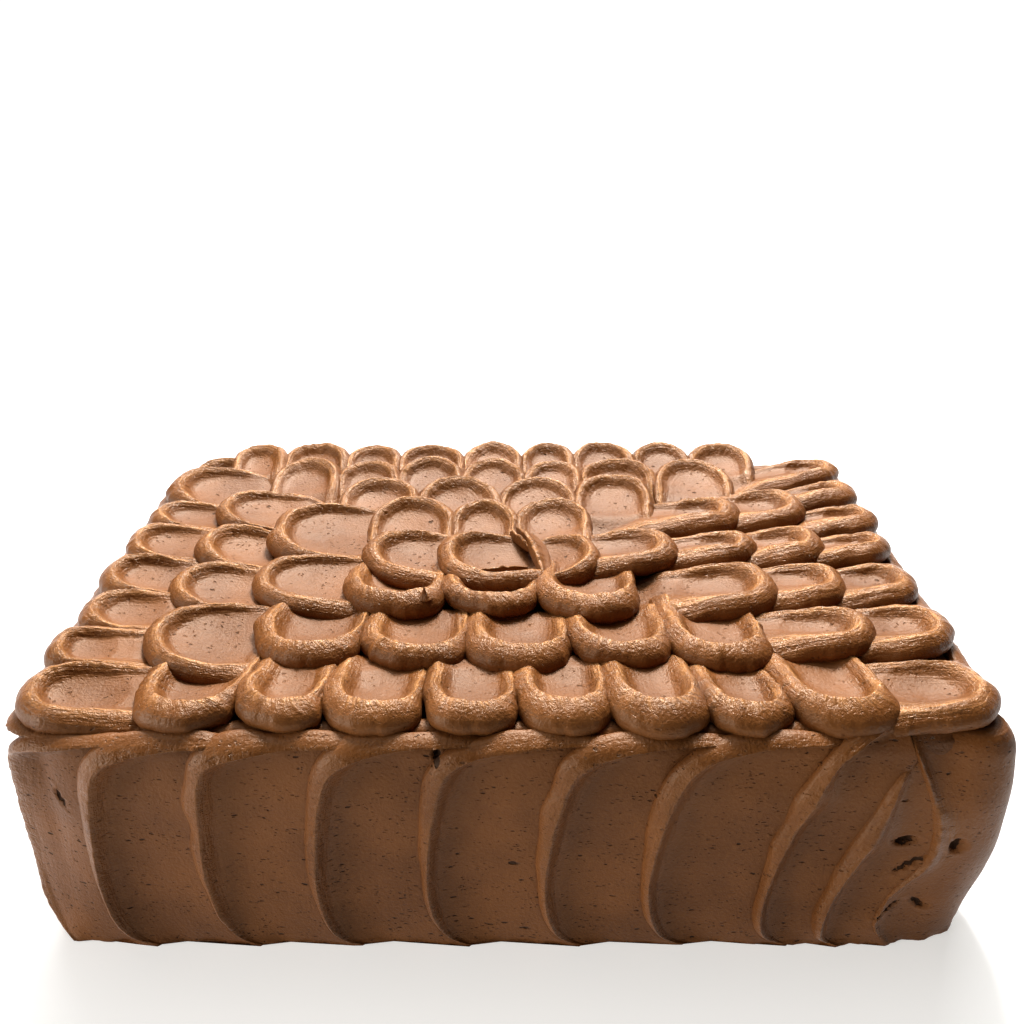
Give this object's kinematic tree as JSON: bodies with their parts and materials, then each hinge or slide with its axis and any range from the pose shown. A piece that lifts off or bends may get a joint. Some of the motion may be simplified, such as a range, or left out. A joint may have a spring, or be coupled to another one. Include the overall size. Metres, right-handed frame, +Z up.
{
  "type": "sheet cake",
  "caption": "Rectangular sheet cake under a thick coat of chocolate buttercream, its top laid in rings of spatula scallops like fish scales and its sides drawn up in broad ridged strokes.",
  "frame": {"origin": "middle of the flat base, where the cake rests on its board", "axes": "+X along the length to the right as the front is faced, +Y from the front to the back, +Z up through the scalloped top"},
  "size_m": [0.3604, 0.2498, 0.1079],
  "materials": {
    "chocolate_buttercream": "soft sheen of whipped chocolate buttercream"
  },
  "bodies": {
    "root": {"frosted_cake": "chocolate_buttercream"}
  },
  "joints": []
}
